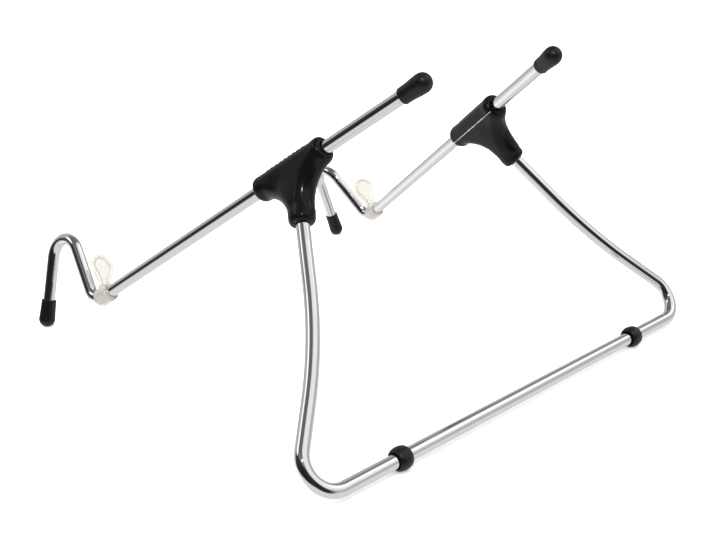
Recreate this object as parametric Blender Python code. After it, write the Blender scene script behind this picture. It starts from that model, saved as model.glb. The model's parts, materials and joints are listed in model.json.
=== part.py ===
"""Folding wire stand that holds a laptop computer or a book at a reading slope.

A bent wire leg stands on its long bottom bar.  A moulded tee swivels on each
leg end and carries a hooked wire arm, which can slide and roll in a split
liner.  The hook of each arm stands on the surface in front.

Frame: metres, +Z up, +Y to the rear, +X to the right of the user, who sits at
-Y.  The origin is on the surface, under the middle of the stand's box.
"""
import math

import bmesh
import bpy
from mathutils import Matrix, Vector

# ---------------------------------------------------------------- dimensions
GAP = 0.0003                      # play kept between pieces that touch
ROD_R = 0.0030                    # all the wire is 6 mm rod
ROD_SIDES_RES = 4                 # curve bevel resolution: 12 sides
BORE_R = ROD_R + GAP              # bore of a piece that sits on the rod
TURN_STEPS = 16                   # facets of a turned piece

# Leg: one bent rod in a plane that leans forward.
BAR_Y = 0.11544                   # bottom bar, behind the origin
BAR_Z = 0.0050
LEG_LEAN = math.radians(39.6)     # from upright, forward
BAR_HALF = 0.1108                 # straight half length of the bottom bar
CORNER_R = 0.0117
CORNER_TURN = math.radians(129.2)
LOWER_SIDE = 0.0192
SWEEP_R = 0.1984
SWEEP_TURN = math.radians(14.8)
UPPER_SIDE = 0.0533               # up to the arm's axis
LEG_END_DROP = 0.0080             # rod stops this far below the arm's axis
GROOVE = (0.0093, 0.0107)         # retaining ring groove, from the arm's axis
GROOVE_R = 0.0023

# Bottom ring bumpers.
BUMPER_X = 0.0804
BUMPER_R = 0.0051
BUMPER_HALF = 0.0038
BUMPER_END_R = 0.0038

# Arm: straight rod, then a hook that goes up, over and down to the surface.
ARM_PITCH = math.radians(34.4)
ARM_YAW = math.radians(17.4)      # the rear ends come together
ARM_REAR = 0.0743                 # tee centre to the rear cap's tip
ARM_FRONT = 0.1441                # tee centre to the corner of the hook
ARM_CORNER_R = 0.0080
HOOK_TOP_R = 0.0106
HOOK_TOP = Vector((-0.0225, -0.0066, 0.0561))     # from the arm's corner
HOOK_FOOT = Vector((-0.0035, -0.0399, 0.00692))   # centre of the foot's dome

# Rubber caps.
REAR_CAP_LENGTH = 0.0145
REAR_CAP_RIM_R = 0.0037
REAR_CAP_BULB_R = 0.00425
REAR_CAP_BORE = 0.0105
FOOT_CAP_LENGTH = 0.0141
FOOT_CAP_RIM_R = 0.0037
FOOT_CAP_DOME_R = 0.00415

# Moulded tee.
HEAD_ENDS = {1: (0.0228, 0.0177), -1: (0.0208, 0.0193)}   # right and left tee: front, rear
HEAD_R = 0.0055
HEAD_END_R = 0.0044
LIP = 0.0026                      # end wall that keeps the liner in
CHAMBER_R = 0.0044
STEM_LENGTH = 0.0271              # arm's axis to the stem's end
STEM_R = 0.0057
STEM_END_R = 0.0045
STEM_BORE_R = 0.0046
STEM_BORE_TOP = 0.0072            # blind end, from the arm's axis
WEB_HALF = 0.0047                 # half of the web's thickness
BROAD_HOLLOW = (0.0057, 0.0042, 0.0205)   # distances from the stem's and the arm's axis, and radius
TIGHT_HOLLOW = (0.0052, 0.0047, 0.0160)
HOLLOW_END = 0.0040               # the hollows stop this far from the head's ends
SLIT = 0.0006
PAD_R = 0.0059                    # flat land on top, from the arm's axis
PAD_WIDTH = 0.0040
PAD_LENGTH = 0.0240

# Pieces inside the tee.
LINER_R = 0.0040
BUSH_R = 0.0043
BUSH_SPAN = (0.0112, 0.0268)
RING_IN_R = 0.0026
RING_OUT_R = 0.0042
RING_SPAN = (0.0096, 0.0104)
RING_OPENING = math.radians(50)

# Clear stoppers.
STOP_FROM_CORNER = {1: 0.0096, -1: 0.0109}    # slid down to the hook's bend on the right
STOP_RING_R = 0.0045
STOP_RING_HALF = 0.0045
STOP_BORE_R = 0.0038              # loose enough to sit over the start of the bend
PADDLE_CENTRE = 0.0155            # disc centre above the arm's axis
PADDLE_R = 0.0061
PADDLE_NECK = 0.0028              # half width of the neck
PADDLE_THICK = 0.0020
STOP_LEAN = {1: math.radians(30), -1: math.radians(9)}   # inward, as left by the user

SIDES = {"right": 1, "left": -1}
MIRROR_X = Matrix.Diagonal((-1, 1, 1, 1))


# ------------------------------------------------------------------ helpers
def clear_scene():
    """Take every object out of the scene."""
    for obj in list(bpy.data.objects):
        bpy.data.objects.remove(obj, do_unlink=True)


def material(name, colour, metallic, roughness, transmission=0.0):
    """Return a Principled material."""
    mat = bpy.data.materials.new(name)
    mat.use_nodes = True
    shader = mat.node_tree.nodes["Principled BSDF"]
    shader.inputs["Base Color"].default_value = (*colour, 1.0)
    shader.inputs["Metallic"].default_value = metallic
    shader.inputs["Roughness"].default_value = roughness
    shader.inputs["Transmission Weight"].default_value = transmission
    mat.diffuse_color = (*colour, 1.0)
    return mat


def link(name, data, mat, parent, local):
    """Put a data block in the scene under a parent, at a local matrix."""
    obj = bpy.data.objects.new(name, data)
    bpy.context.scene.collection.objects.link(obj)
    data.materials.append(mat)
    obj.parent = parent
    obj.matrix_basis = local
    return obj


def empty(name, parent, local):
    """Add a guide frame that pieces are parented to."""
    obj = bpy.data.objects.new(name, None)
    bpy.context.scene.collection.objects.link(obj)
    obj.empty_display_size = 0.02
    obj.parent = parent
    obj.matrix_basis = local
    return obj


def mesh_from(bm, name, sign=1):
    """Turn a bmesh into a smooth-shaded mesh, mirrored in X for the left side."""
    if sign < 0:
        bmesh.ops.transform(bm, matrix=MIRROR_X, verts=bm.verts)
        bmesh.ops.reverse_faces(bm, faces=bm.faces)
    mesh = bpy.data.meshes.new(name)
    bm.to_mesh(mesh)
    bm.free()
    mesh.shade_smooth()
    mesh.set_sharp_from_angle(angle=math.radians(35))
    return mesh


def turned(profile, steps=TURN_STEPS, opening=0.0):
    """Turn a closed (y, radius) outline about the Y axis; an opening leaves a C."""
    bm = bmesh.new()
    start = opening / 2
    turn = Matrix.Rotation(start, 4, "Y")
    verts = [bm.verts.new(turn @ Vector((0, y, r))) for y, r in profile]
    loop = [bm.edges.new((verts[i - 1], verts[i])) for i in range(len(verts))]
    swept = bmesh.ops.spin(
        bm, geom=verts + loop, cent=(0, 0, 0), axis=(0, 1, 0),
        angle=2 * math.pi - opening, steps=steps, use_merge=opening == 0)
    if opening:
        last = [item for item in swept["geom_last"] if isinstance(item, bmesh.types.BMVert)]
        bm.faces.new(verts)
        bm.faces.new(sorted(last, key=lambda v: v.index))
    bmesh.ops.remove_doubles(bm, verts=bm.verts, dist=1e-6)
    flat = [edge for edge in bm.edges if not edge.link_faces]
    bmesh.ops.delete(bm, geom=flat, context="EDGES")
    bmesh.ops.recalc_face_normals(bm, faces=bm.faces)
    return bm


def arc(centre, radius, start, end, steps):
    """Points of an arc in a plane, with both ends."""
    points = []
    for i in range(steps + 1):
        angle = start + (end - start) * i / steps
        points.append((centre[0] + radius * math.cos(angle), centre[1] + radius * math.sin(angle)))
    return points


def prism(outline, low, high):
    """Extrude a (y, z) outline along X from low to high."""
    bm = bmesh.new()
    face = bm.faces.new([bm.verts.new((low, y, z)) for y, z in outline])
    grown = bmesh.ops.extrude_face_region(bm, geom=[face])
    verts = [item for item in grown["geom"] if isinstance(item, bmesh.types.BMVert)]
    bmesh.ops.translate(bm, verts=verts, vec=(high - low, 0, 0))
    bmesh.ops.recalc_face_normals(bm, faces=bm.faces)
    return bm


def block(low, high):
    """A box between two corners."""
    centre = (Vector(low) + Vector(high)) / 2
    size = Vector(high) - Vector(low)
    bm = bmesh.new()
    bmesh.ops.create_cube(bm, size=1.0, matrix=Matrix.Translation(centre) @ Matrix.Diagonal((*size, 1)))
    return bm


def boolean(base, steps):
    """Add and cut shapes in turn with exact Booleans, and return the result."""
    scene = bpy.context.scene.collection
    obj = bpy.data.objects.new("work", mesh_from(base, "work"))
    scene.objects.link(obj)
    tools = []
    for operation, bm in steps:
        tool = bpy.data.objects.new("tool", mesh_from(bm, "tool"))
        scene.objects.link(tool)
        tool.hide_render = True
        tool.display_type = "WIRE"
        modifier = obj.modifiers.new(operation, "BOOLEAN")
        modifier.operation = operation
        modifier.solver = "EXACT"
        modifier.object = tool
        tools.append(tool)
    graph = bpy.context.evaluated_depsgraph_get()
    result = bmesh.new()
    result.from_object(obj, graph)
    for item in [obj, *tools]:
        data = item.data
        bpy.data.objects.remove(item, do_unlink=True)
        bpy.data.meshes.remove(data)
    bmesh.ops.remove_doubles(result, verts=result.verts, dist=2e-6)
    bmesh.ops.dissolve_degenerate(result, edges=result.edges, dist=2e-6)
    return result


def bent_rod(name, points, radii, mat, parent, local, sign=1):
    """A round rod as a bevelled curve through 3-D points, one radius factor each."""
    curve = bpy.data.curves.new(name, "CURVE")
    curve.dimensions = "3D"
    curve.bevel_depth = ROD_R
    curve.bevel_resolution = ROD_SIDES_RES
    curve.use_fill_caps = True
    spline = curve.splines.new("POLY")
    spline.points.add(len(points) - 1)
    for point, place, factor in zip(spline.points, points, radii):
        point.co = (sign * place[0], place[1], place[2], 1)
        point.radius = factor
    return link(name, curve, mat, parent, local)


def rounded_corner(before, corner, after, radius, steps):
    """Points of the arc that rounds a corner between two straight stretches."""
    to_before = (before - corner).normalized()
    to_after = (after - corner).normalized()
    half = to_before.angle(to_after) / 2
    middle = (to_before + to_after).normalized()
    centre = corner + middle * (radius / math.sin(half))
    first = corner + to_before * (radius / math.tan(half)) - centre
    axis = to_after.cross(to_before).normalized()
    total = math.pi - 2 * half
    return [centre + Matrix.Rotation(total * i / steps, 3, axis) @ first for i in range(steps + 1)]


# -------------------------------------------------------------- leg geometry
def leg_half():
    """Right half of the leg from the bar's middle up to the arm's axis: points, heading."""
    points = [Vector((0, 0, 0)), Vector((BAR_HALF, 0, 0))]
    heading = 0.0

    def bend(radius, turn, steps):
        nonlocal heading
        side = math.copysign(1, turn)
        normal = Vector((-math.sin(heading), 0, math.cos(heading))) * side
        centre = points[-1] + normal * radius
        spoke = points[-1] - centre
        for i in range(1, steps + 1):
            angle = turn * i / steps
            points.append(centre + Matrix.Rotation(-angle, 3, "Y") @ spoke)
        heading += turn

    def straight(length):
        points.append(points[-1] + Vector((math.cos(heading), 0, math.sin(heading))) * length)

    bend(CORNER_R, CORNER_TURN, 10)
    straight(LOWER_SIDE)
    bend(SWEEP_R, -SWEEP_TURN, 4)
    straight(UPPER_SIDE)
    return points, heading


def leg_rod_path():
    """Whole leg in its own plane, with the grooved ends: points and radius factors."""
    half, heading = leg_half()
    along = Vector((math.cos(heading), 0, math.sin(heading)))
    arm_axis = half.pop()
    step = 0.00002                  # a groove wall, all but square
    chamfer = 0.0005
    stations = [
        (GROOVE[1], ROD_R), (GROOVE[1] - step, GROOVE_R), (GROOVE[0] + step, GROOVE_R),
        (GROOVE[0], ROD_R), (LEG_END_DROP + chamfer, ROD_R), (LEG_END_DROP, ROD_R - chamfer)]
    points = half + [arm_axis - along * drop for drop, _ in stations]
    radii = [1.0] * len(half) + [radius / ROD_R for _, radius in stations]
    mirrored = [Vector((-p.x, p.y, p.z)) for p in points[:0:-1]]
    return mirrored + points[1:], radii[:0:-1] + radii[1:]


def leg_plane():
    """The leg's plane: its local Z runs up the leaning leg."""
    return Matrix.Translation((0, BAR_Y, BAR_Z)) @ Matrix.Rotation(LEG_LEAN, 4, "X")


def leg_end():
    """World place where the right leg end meets the arm's axis, and its direction."""
    half, heading = leg_half()
    plane = leg_plane()
    along = plane.to_3x3() @ Vector((math.cos(heading), 0, math.sin(heading)))
    return plane @ half[-1], along


# -------------------------------------------------------------- joint frames
def arm_frame(side):
    """Frame of one arm: origin at the tee's centre, +Y along the arm to the rear."""
    place, _ = leg_end()
    right = (
        Matrix.Translation(place)
        @ Matrix.Rotation(ARM_YAW, 4, "Z")
        @ Matrix.Rotation(ARM_PITCH, 4, "X"))
    return right if side > 0 else MIRROR_X @ right @ MIRROR_X


def stem_turn():
    """Rotation in the right arm's frame that takes +Z onto the leg end's direction."""
    _, along = leg_end()
    local = arm_frame(1).to_3x3().inverted() @ along
    return Vector((0, 0, 1)).rotation_difference(local).to_matrix().to_4x4()


def stem_roll():
    """Angle about the arm from the arm's up direction to the leg end."""
    _, along = leg_end()
    local = arm_frame(1).to_3x3().inverted() @ along
    return math.atan2(local.x, local.z)


def about_stem(bm):
    """Turn a shape made about Y, with y as the distance below the arm, onto the stem."""
    bmesh.ops.transform(bm, matrix=stem_turn() @ Matrix.Rotation(-math.pi / 2, 4, "X"), verts=bm.verts)
    return bm


# ------------------------------------------------------------------- pieces
def make_leg(mat, root):
    """The bell-shaped bent rod."""
    points, radii = leg_rod_path()
    bent_rod("leg_rod", points, radii, mat, root, Matrix.Rotation(LEG_LEAN, 4, "X"))


def make_bumper(name, sign, mat, root):
    """Rubber ring on the bottom bar, with a small worn flat where it stands."""
    crown = (BUMPER_R - BUMPER_END_R)
    outer = [
        (BUMPER_HALF * math.cos(a), BUMPER_END_R + crown * math.sin(a))
        for a in (math.pi * i / 6 for i in range(7))]
    bm = turned([(BUMPER_HALF, BORE_R), *outer, (-BUMPER_HALF, BORE_R)])
    bmesh.ops.transform(bm, matrix=Matrix.Rotation(-math.pi / 2, 4, "Z"), verts=bm.verts)
    local = Matrix.Translation((sign * BUMPER_X, 0, 0))
    stand_flat(bm, -BAR_Z)
    link(name, mesh_from(bm, name), mat, root, local)


def stand_flat(bm, height, normal=Vector((0, 0, 1))):
    """Cut a shape level where it meets the surface."""
    bmesh.ops.bisect_plane(
        bm, geom=[*bm.verts, *bm.edges, *bm.faces], dist=1e-7,
        plane_co=normal * height, plane_no=normal, clear_inner=True)
    rim = [edge for edge in bm.edges if edge.is_boundary]
    bmesh.ops.holes_fill(bm, edges=rim)
    bmesh.ops.recalc_face_normals(bm, faces=bm.faces)


def head_outline(front, rear):
    """Outer (y, r) outline of the tee's head, from rear to front."""
    rounding = HEAD_R - HEAD_END_R
    behind = arc((rear - rounding, HEAD_END_R), rounding, 0, math.pi / 2, 3)
    ahead = arc((rounding - front, HEAD_END_R), rounding, math.pi / 2, math.pi, 3)
    return behind + ahead


def hollow(shape, reach):
    """(y, z) points of one hollow beside the stem, from the head down to the stem's foot."""
    waist, top, radius = shape
    start = math.acos((waist + radius - reach) / radius)
    arc_points = arc((waist + radius, -top - radius), radius, math.pi - start, math.pi, 6)
    return [*arc_points, (waist, 0.0035 - STEM_LENGTH)]


def web_outline(sign):
    """(y, z) outline of the web; the broad hollow faces front on the right and rear on the left."""
    front, rear = HEAD_ENDS[sign]
    ahead, behind = (BROAD_HOLLOW, TIGHT_HOLLOW)[::sign]
    front_side = [(-y, z) for y, z in hollow(ahead, front - HOLLOW_END)]
    rear_side = hollow(behind, rear - HOLLOW_END)
    return front_side + rear_side[::-1] + [(rear - HOLLOW_END, 0.0), (HOLLOW_END - front, 0.0)]


def make_tee(name, sign, mat, arm):
    """Moulded tee: split head, stem and web, chambered for the liner and the bush."""
    front, rear = HEAD_ENDS[sign]
    head = turned([(rear, 0), *head_outline(front, rear), (-front, 0)])
    stem_round = STEM_R - STEM_END_R
    stem = about_stem(turned([
        (0.0, 0), (0.0, STEM_R - 0.0006), (STEM_LENGTH - 0.0080, STEM_R - 0.0004),
        *arc((STEM_LENGTH - stem_round, STEM_END_R), stem_round, math.pi / 2, 0, 3),
        (STEM_LENGTH, 0)]))
    upright = Matrix.Rotation(stem_roll(), 4, "Y")
    web = prism(web_outline(sign), -WEB_HALF, WEB_HALF)
    bmesh.ops.transform(web, matrix=upright, verts=web.verts)
    pad_middle = (rear - front) / 2
    land = block(
        (-PAD_WIDTH / 2, pad_middle - PAD_LENGTH / 2, 0.0048),
        (PAD_WIDTH / 2, pad_middle + PAD_LENGTH / 2, PAD_R))
    beyond = 0.002
    lip_r = BORE_R * 1.02
    bore = turned([
        (rear + beyond, 0), (rear + beyond, lip_r), (rear - LIP, lip_r), (rear - LIP, CHAMBER_R),
        (LIP - front, CHAMBER_R), (LIP - front, lip_r), (-front - beyond, lip_r), (-front - beyond, 0)])
    socket = about_stem(turned([
        (STEM_BORE_TOP, 0), (STEM_BORE_TOP, STEM_BORE_R),
        (STEM_LENGTH + beyond, STEM_BORE_R), (STEM_LENGTH + beyond, 0)]))
    slit = block((-HEAD_R - 0.002, -front - beyond, -SLIT / 2), (-0.0020, rear + beyond, SLIT / 2))
    bmesh.ops.transform(slit, matrix=upright, verts=slit.verts)
    bm = boolean(head, [
        ("UNION", stem), ("UNION", web), ("UNION", land),
        ("DIFFERENCE", bore), ("DIFFERENCE", socket), ("DIFFERENCE", slit)])
    link(name, mesh_from(bm, name, sign), mat, arm, Matrix.Identity(4))


def make_liner(name, sign, mat, arm):
    """Split liner held inside the head, open on the head's inner side."""
    front, rear = HEAD_ENDS[sign]
    first = rear - LIP - GAP
    last = LIP - front + GAP
    opening = math.radians(14)
    bm = turned([(first, BORE_R), (first, LINER_R), (last, LINER_R), (last, BORE_R)], 15, opening)
    bmesh.ops.transform(bm, matrix=Matrix.Rotation(-math.pi / 2, 4, "Y"), verts=bm.verts)
    link(name, mesh_from(bm, name, sign), mat, arm, Matrix.Identity(4))


def make_bush(name, sign, mat, arm):
    """Plain bush that the leg end turns in, pressed into the stem."""
    top, bottom = BUSH_SPAN
    bm = about_stem(turned([(top, BORE_R), (top, BUSH_R), (bottom, BUSH_R), (bottom, BORE_R)]))
    link(name, mesh_from(bm, name, sign), mat, arm, Matrix.Identity(4))


def make_retaining_ring(name, sign, mat, arm):
    """Open spring ring in the leg end's groove, above the bush."""
    top, bottom = RING_SPAN
    outline = [(top, RING_IN_R), (top, RING_OUT_R), (bottom, RING_OUT_R), (bottom, RING_IN_R)]
    bm = about_stem(turned(outline, 12, RING_OPENING))
    link(name, mesh_from(bm, name, sign), mat, arm, Matrix.Identity(4))


def arm_points():
    """Arm's centre line in its frame, from the rear end to the foot's dome."""
    rear_end = Vector((0, ARM_REAR - REAR_CAP_LENGTH + REAR_CAP_BORE - GAP, 0))
    corner = Vector((0, -ARM_FRONT, 0))
    top = corner + HOOK_TOP
    foot = corner + HOOK_FOOT
    return [
        rear_end,
        *rounded_corner(rear_end, corner, top, ARM_CORNER_R, 7),
        *rounded_corner(corner, top, foot, HOOK_TOP_R, 9),
        foot]


def make_arm(name, sign, mat, arm):
    """Hooked arm rod."""
    points = arm_points()
    bent_rod(name, points, [1.0] * len(points), mat, arm, Matrix.Identity(4), sign)


def make_rear_cap(name, sign, mat, arm):
    """Bulb-ended rubber cap on the arm's rear end."""
    length = REAR_CAP_LENGTH
    bulb = arc((length - REAR_CAP_BULB_R, 0), REAR_CAP_BULB_R, math.pi / 2, 0, 5)
    profile = [
        (0, BORE_R), (0, REAR_CAP_RIM_R), (length * 0.30, REAR_CAP_RIM_R + 0.0001),
        (length * 0.52, REAR_CAP_BULB_R - 0.0003), *bulb[:-1], (length, 0),
        (REAR_CAP_BORE, 0), (REAR_CAP_BORE, BORE_R)]
    local = Matrix.Translation((0, ARM_REAR - length, 0))
    link(name, mesh_from(turned(profile), name, sign), mat, arm, local)


def make_foot_cap(name, sign, mat, arm):
    """Rubber cap on the hook's foot, with a level worn flat."""
    length = FOOT_CAP_LENGTH
    dome_at = length - FOOT_CAP_DOME_R
    dome = arc((dome_at, 0), FOOT_CAP_DOME_R, math.pi / 2, 0, 5)
    bm = turned([
        (0, BORE_R), (0, FOOT_CAP_RIM_R), (dome_at * 0.45, FOOT_CAP_RIM_R + 0.00015),
        *dome[:-1], (length, 0), (dome_at + GAP, 0), (dome_at + GAP, BORE_R)])
    points = arm_points()
    foot = points[-1]
    down = (foot - points[-2]).normalized()
    turn = Vector((0, 1, 0)).rotation_difference(down).to_matrix().to_4x4()
    local = Matrix.Translation(foot - down * dome_at) @ turn
    world = arm_frame(1) @ local
    up = world.to_3x3().inverted() @ Vector((0, 0, 1))
    stand_flat(bm, -world.translation.z, up)
    if sign < 0:
        local = MIRROR_X @ local @ MIRROR_X
    link(name, mesh_from(bm, name, sign), mat, arm, local)


def make_stopper(name, sign, mat, arm):
    """Clear ring on the arm with a rounded paddle that stops the load's edge."""
    ring = turned([
        (STOP_RING_HALF, 0), (STOP_RING_HALF, STOP_RING_R - 0.0006),
        (STOP_RING_HALF - 0.0006, STOP_RING_R), (0.0006 - STOP_RING_HALF, STOP_RING_R),
        (-STOP_RING_HALF, STOP_RING_R - 0.0006), (-STOP_RING_HALF, 0)])
    shoulder = math.radians(-52)
    disc = arc((0, PADDLE_CENTRE), PADDLE_R, shoulder, math.pi - shoulder, 14)
    base = 0.0036
    outline = [(PADDLE_NECK, base), (PADDLE_NECK, base + 0.0022), *disc,
               (-PADDLE_NECK, base + 0.0022), (-PADDLE_NECK, base)]
    paddle = prism(outline, -PADDLE_THICK / 2, PADDLE_THICK / 2)
    bmesh.ops.transform(paddle, matrix=Matrix.Rotation(math.pi / 2, 4, "Z"), verts=paddle.verts)
    beyond = STOP_RING_HALF + 0.002
    bore = turned([(beyond, 0), (beyond, STOP_BORE_R), (-beyond, STOP_BORE_R), (-beyond, 0)])
    bm = boolean(ring, [("UNION", paddle), ("DIFFERENCE", bore)])
    lean = Matrix.Rotation(-sign * STOP_LEAN[sign], 4, "Y")
    local = Matrix.Translation((0, STOP_FROM_CORNER[sign] - ARM_FRONT, 0)) @ lean
    link(name, mesh_from(bm, name, sign), mat, arm, local)


def main():
    """Build the stand."""
    clear_scene()
    chrome = material("chrome_plated_rod", (0.80, 0.81, 0.82), 1.0, 0.08)
    gloss = material("gloss_black_plastic", (0.012, 0.012, 0.013), 0.0, 0.12)
    rubber = material("matt_black_rubber", (0.016, 0.016, 0.017), 0.0, 0.55)
    clear = material("clear_soft_plastic", (0.93, 0.91, 0.88), 0.0, 0.15, 1.0)
    nylon = material("natural_nylon", (0.72, 0.70, 0.64), 0.0, 0.45)
    spring = material("spring_steel", (0.35, 0.35, 0.36), 1.0, 0.35)

    root = empty("stand_frame", None, Matrix.Translation((0, BAR_Y, BAR_Z)))
    make_leg(chrome, root)
    for side, sign in SIDES.items():
        make_bumper(f"bar_bumper_{side}", sign, rubber, root)
        arm = empty(f"{side}_arm_axis", None, arm_frame(sign))
        make_tee(f"tee_{side}", sign, gloss, arm)
        make_liner(f"grip_liner_{side}", sign, nylon, arm)
        make_bush(f"stem_bush_{side}", sign, nylon, arm)
        make_retaining_ring(f"retaining_ring_{side}", sign, spring, arm)
        make_arm(f"arm_rod_{side}", sign, chrome, arm)
        make_rear_cap(f"rear_cap_{side}", sign, rubber, arm)
        make_foot_cap(f"foot_cap_{side}", sign, rubber, arm)
        make_stopper(f"stopper_{side}", sign, clear, arm)


main()
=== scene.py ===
"""Looks of the folding wire stand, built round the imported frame.

The visible pieces are fine meshes that stand for the frame's plain solids;
only the stem bushes and the retaining rings keep theirs.  Sizes repeat the
stand's driving dimensions; places come from the frame's joints and boxes.
Metres, +Z up, +Y to the rear, +X to the right.
"""
import json
import math

import bmesh
import bpy
import numpy as np
from mathutils import Matrix, Vector


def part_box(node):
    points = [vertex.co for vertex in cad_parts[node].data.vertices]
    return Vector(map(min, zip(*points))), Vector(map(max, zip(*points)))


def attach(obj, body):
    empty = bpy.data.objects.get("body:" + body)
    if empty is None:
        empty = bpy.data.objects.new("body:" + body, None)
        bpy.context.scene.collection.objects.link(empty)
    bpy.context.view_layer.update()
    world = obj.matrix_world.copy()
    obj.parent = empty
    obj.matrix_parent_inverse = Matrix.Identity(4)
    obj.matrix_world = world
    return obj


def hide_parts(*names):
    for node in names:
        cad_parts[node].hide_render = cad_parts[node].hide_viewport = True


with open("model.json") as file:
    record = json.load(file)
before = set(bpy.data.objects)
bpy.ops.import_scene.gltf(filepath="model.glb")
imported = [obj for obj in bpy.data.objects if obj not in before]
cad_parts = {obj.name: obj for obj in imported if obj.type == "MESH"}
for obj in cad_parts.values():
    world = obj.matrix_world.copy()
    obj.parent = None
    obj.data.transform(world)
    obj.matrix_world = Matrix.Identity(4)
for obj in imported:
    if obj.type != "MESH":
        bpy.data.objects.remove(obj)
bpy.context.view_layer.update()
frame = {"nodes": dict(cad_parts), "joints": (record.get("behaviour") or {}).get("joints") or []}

# ---------------------------------------------------------------- dimensions
MM = 0.001
ROD_R = 3.0 * MM
ARM_WIRE_R = 2.94 * MM            # a hair under the rod's, to stay in the solid's box
COARSE_STEP = 12.0 * MM           # between the points of long straight stretches
FINE_STEP = 6.0 * MM
BAR_Z = 5.0 * MM                  # height of the bottom bar
LEG_LEAN = math.radians(39.6)
BAR_HALF = 110.8 * MM
CORNER_R = 11.7 * MM
CORNER_TURN = math.radians(129.2)
LOWER_SIDE = 19.2 * MM
SWEEP_R = 198.4 * MM
SWEEP_TURN = math.radians(14.8)
UPPER_SIDE = 53.3 * MM
LEG_END_DROP = 8.0 * MM
GROOVE = (9.3 * MM, 10.7 * MM)
GROOVE_R = 2.3 * MM
GROOVED_END = 4.0 * MM            # length of the stretch that holds the groove
LEG_END_CHAMFER = 0.5 * MM
GROOVE_WALL = 0.05 * MM

BUMPER_R = 5.0 * MM
BUMPER_HALF = 3.4 * MM
BUMPER_END_R = 3.55 * MM
BUMPER_FULLNESS = 0.9             # exponent of the bead's outline
BUMPER_CHAMFER = 0.5 * MM
BUMPER_PLAY = 0.04 * MM

ARM_REAR = 74.3 * MM
ARM_FRONT = 144.1 * MM
ARM_CORNER_R = 8.0 * MM
HOOK_TOP_R = 10.6 * MM
HOOK_TOP = Vector((-22.5, -6.6, 56.1)) * MM
HOOK_FOOT = Vector((-3.5, -39.9, 6.92)) * MM

REAR_CAP_LENGTH = 14.5 * MM
REAR_CAP_RIM_R = 3.7 * MM
REAR_CAP_BULB_R = 4.24 * MM
REAR_CAP_BORE = 10.5 * MM
FOOT_CAP_LENGTH = 14.1 * MM
FOOT_CAP_RIM_R = 3.68 * MM
FOOT_CAP_DOME_R = 4.08 * MM
CAP_BORE_R = 3.04 * MM
CAP_CHAMFER = 0.4 * MM
REAR_CAP_LIP = (0.3 * MM, 0.35 * MM)    # how much the mouth opens out, and the rim's rounding
FOOT_CAP_LIP = (0.2 * MM, 0.3 * MM)
REAR_CAP_GAP = 0.3 * MM           # between the arm's end and the bottom of the cap's bore
FOOT_CAP_GAP = 0.3 * MM
REAR_CAP_NECK = 0.25              # straight share of the length up to the bulb
REAR_CAP_FULLNESS = 0.9           # exponents of the two caps' outlines
FOOT_CAP_FULLNESS = 1.3

HEAD_ENDS = {"right": (22.8 * MM, 17.7 * MM), "left": (20.8 * MM, 19.3 * MM)}    # front and rear
HEAD_R = 5.5 * MM
HEAD_BORE_R = 3.2 * MM
LIP = 2.6 * MM
CHAMBER_R = 4.4 * MM
STEM_LENGTH = 27.1 * MM
STEM_BORE_R = 4.6 * MM
STEM_BORE_TOP = 7.2 * MM
STEM_R = 5.75 * MM
STEM_RIM = 0.6 * MM               # depth of the narrower mouth below the bush
SLIT = 0.55 * MM
SLIT_END = -2.0 * MM              # slit and notch both stop inside the bore
NOTCH_END = -2.6 * MM
NOTCH_HALF = 1.1 * MM             # half side of the square notch, cut on its corner
WEB_DEPTH = 25.0 * MM
WEB_ROUNDING = 4.0 * MM
WEB_FILLET = 1.0 * MM
BROAD_HOLLOW = (6.2 * MM, 4.3 * MM, 20.0 * MM)    # distances from the two axes, and radius
TIGHT_HOLLOW = (5.4 * MM, 4.7 * MM, 16.0 * MM)
SINK_Y = 8.5 * MM                 # shallow sink mark in the web's broad half
SINK_Z = 6.5 * MM
SINK_R = 5.0 * MM
SINK_DEPTH = 0.5 * MM
# Swellings: how much, and how far from the end each one starts and is full
REAR_SWELL = (0.30 * MM, 7.0 * MM, 1.5 * MM)
FRONT_SWELL = (0.15 * MM, 7.0 * MM, 2.0 * MM)
STEM_SWELL = (0.12 * MM, 6.6 * MM, 4.6 * MM)
WAIST = 0.15 * MM                 # depth of the stem's waist, its place and its length
WAIST_AT = 19.5 * MM
WAIST_LENGTH = 2.2 * MM
END_ROUNDING = 3.0 * MM
MOUTH_R = 0.45 * MM               # how much the head's mouths open out
MOUTH_START = -0.8 * MM
MOUTH_DEPTH = 0.9 * MM
MOUTH_ROUNDING = 0.6 * MM
MOUTH_MARGIN = 0.1 * MM           # wall left for the bore's tool to cut
RIB_COUNT = 9
RIB_PITCH = 2.65 * MM
RIB_LEAN = math.radians(-6)
RIB_HALF_TURN = math.radians(27)
RIB_HEIGHT = 0.45 * MM
RIB_HALF_WIDTH = 0.8 * MM
LINER_PLAY = 0.05 * MM
LINER_END_PLAY = 0.1 * MM
STRIP_SINK = 0.3 * MM             # how far the pale strip lies below the head's surface
STRIP_GRIP = 0.01 * MM            # how far it goes into the slit's walls
STRIP_GAP = 0.1 * MM              # between the strip and the liner's chamber

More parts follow.
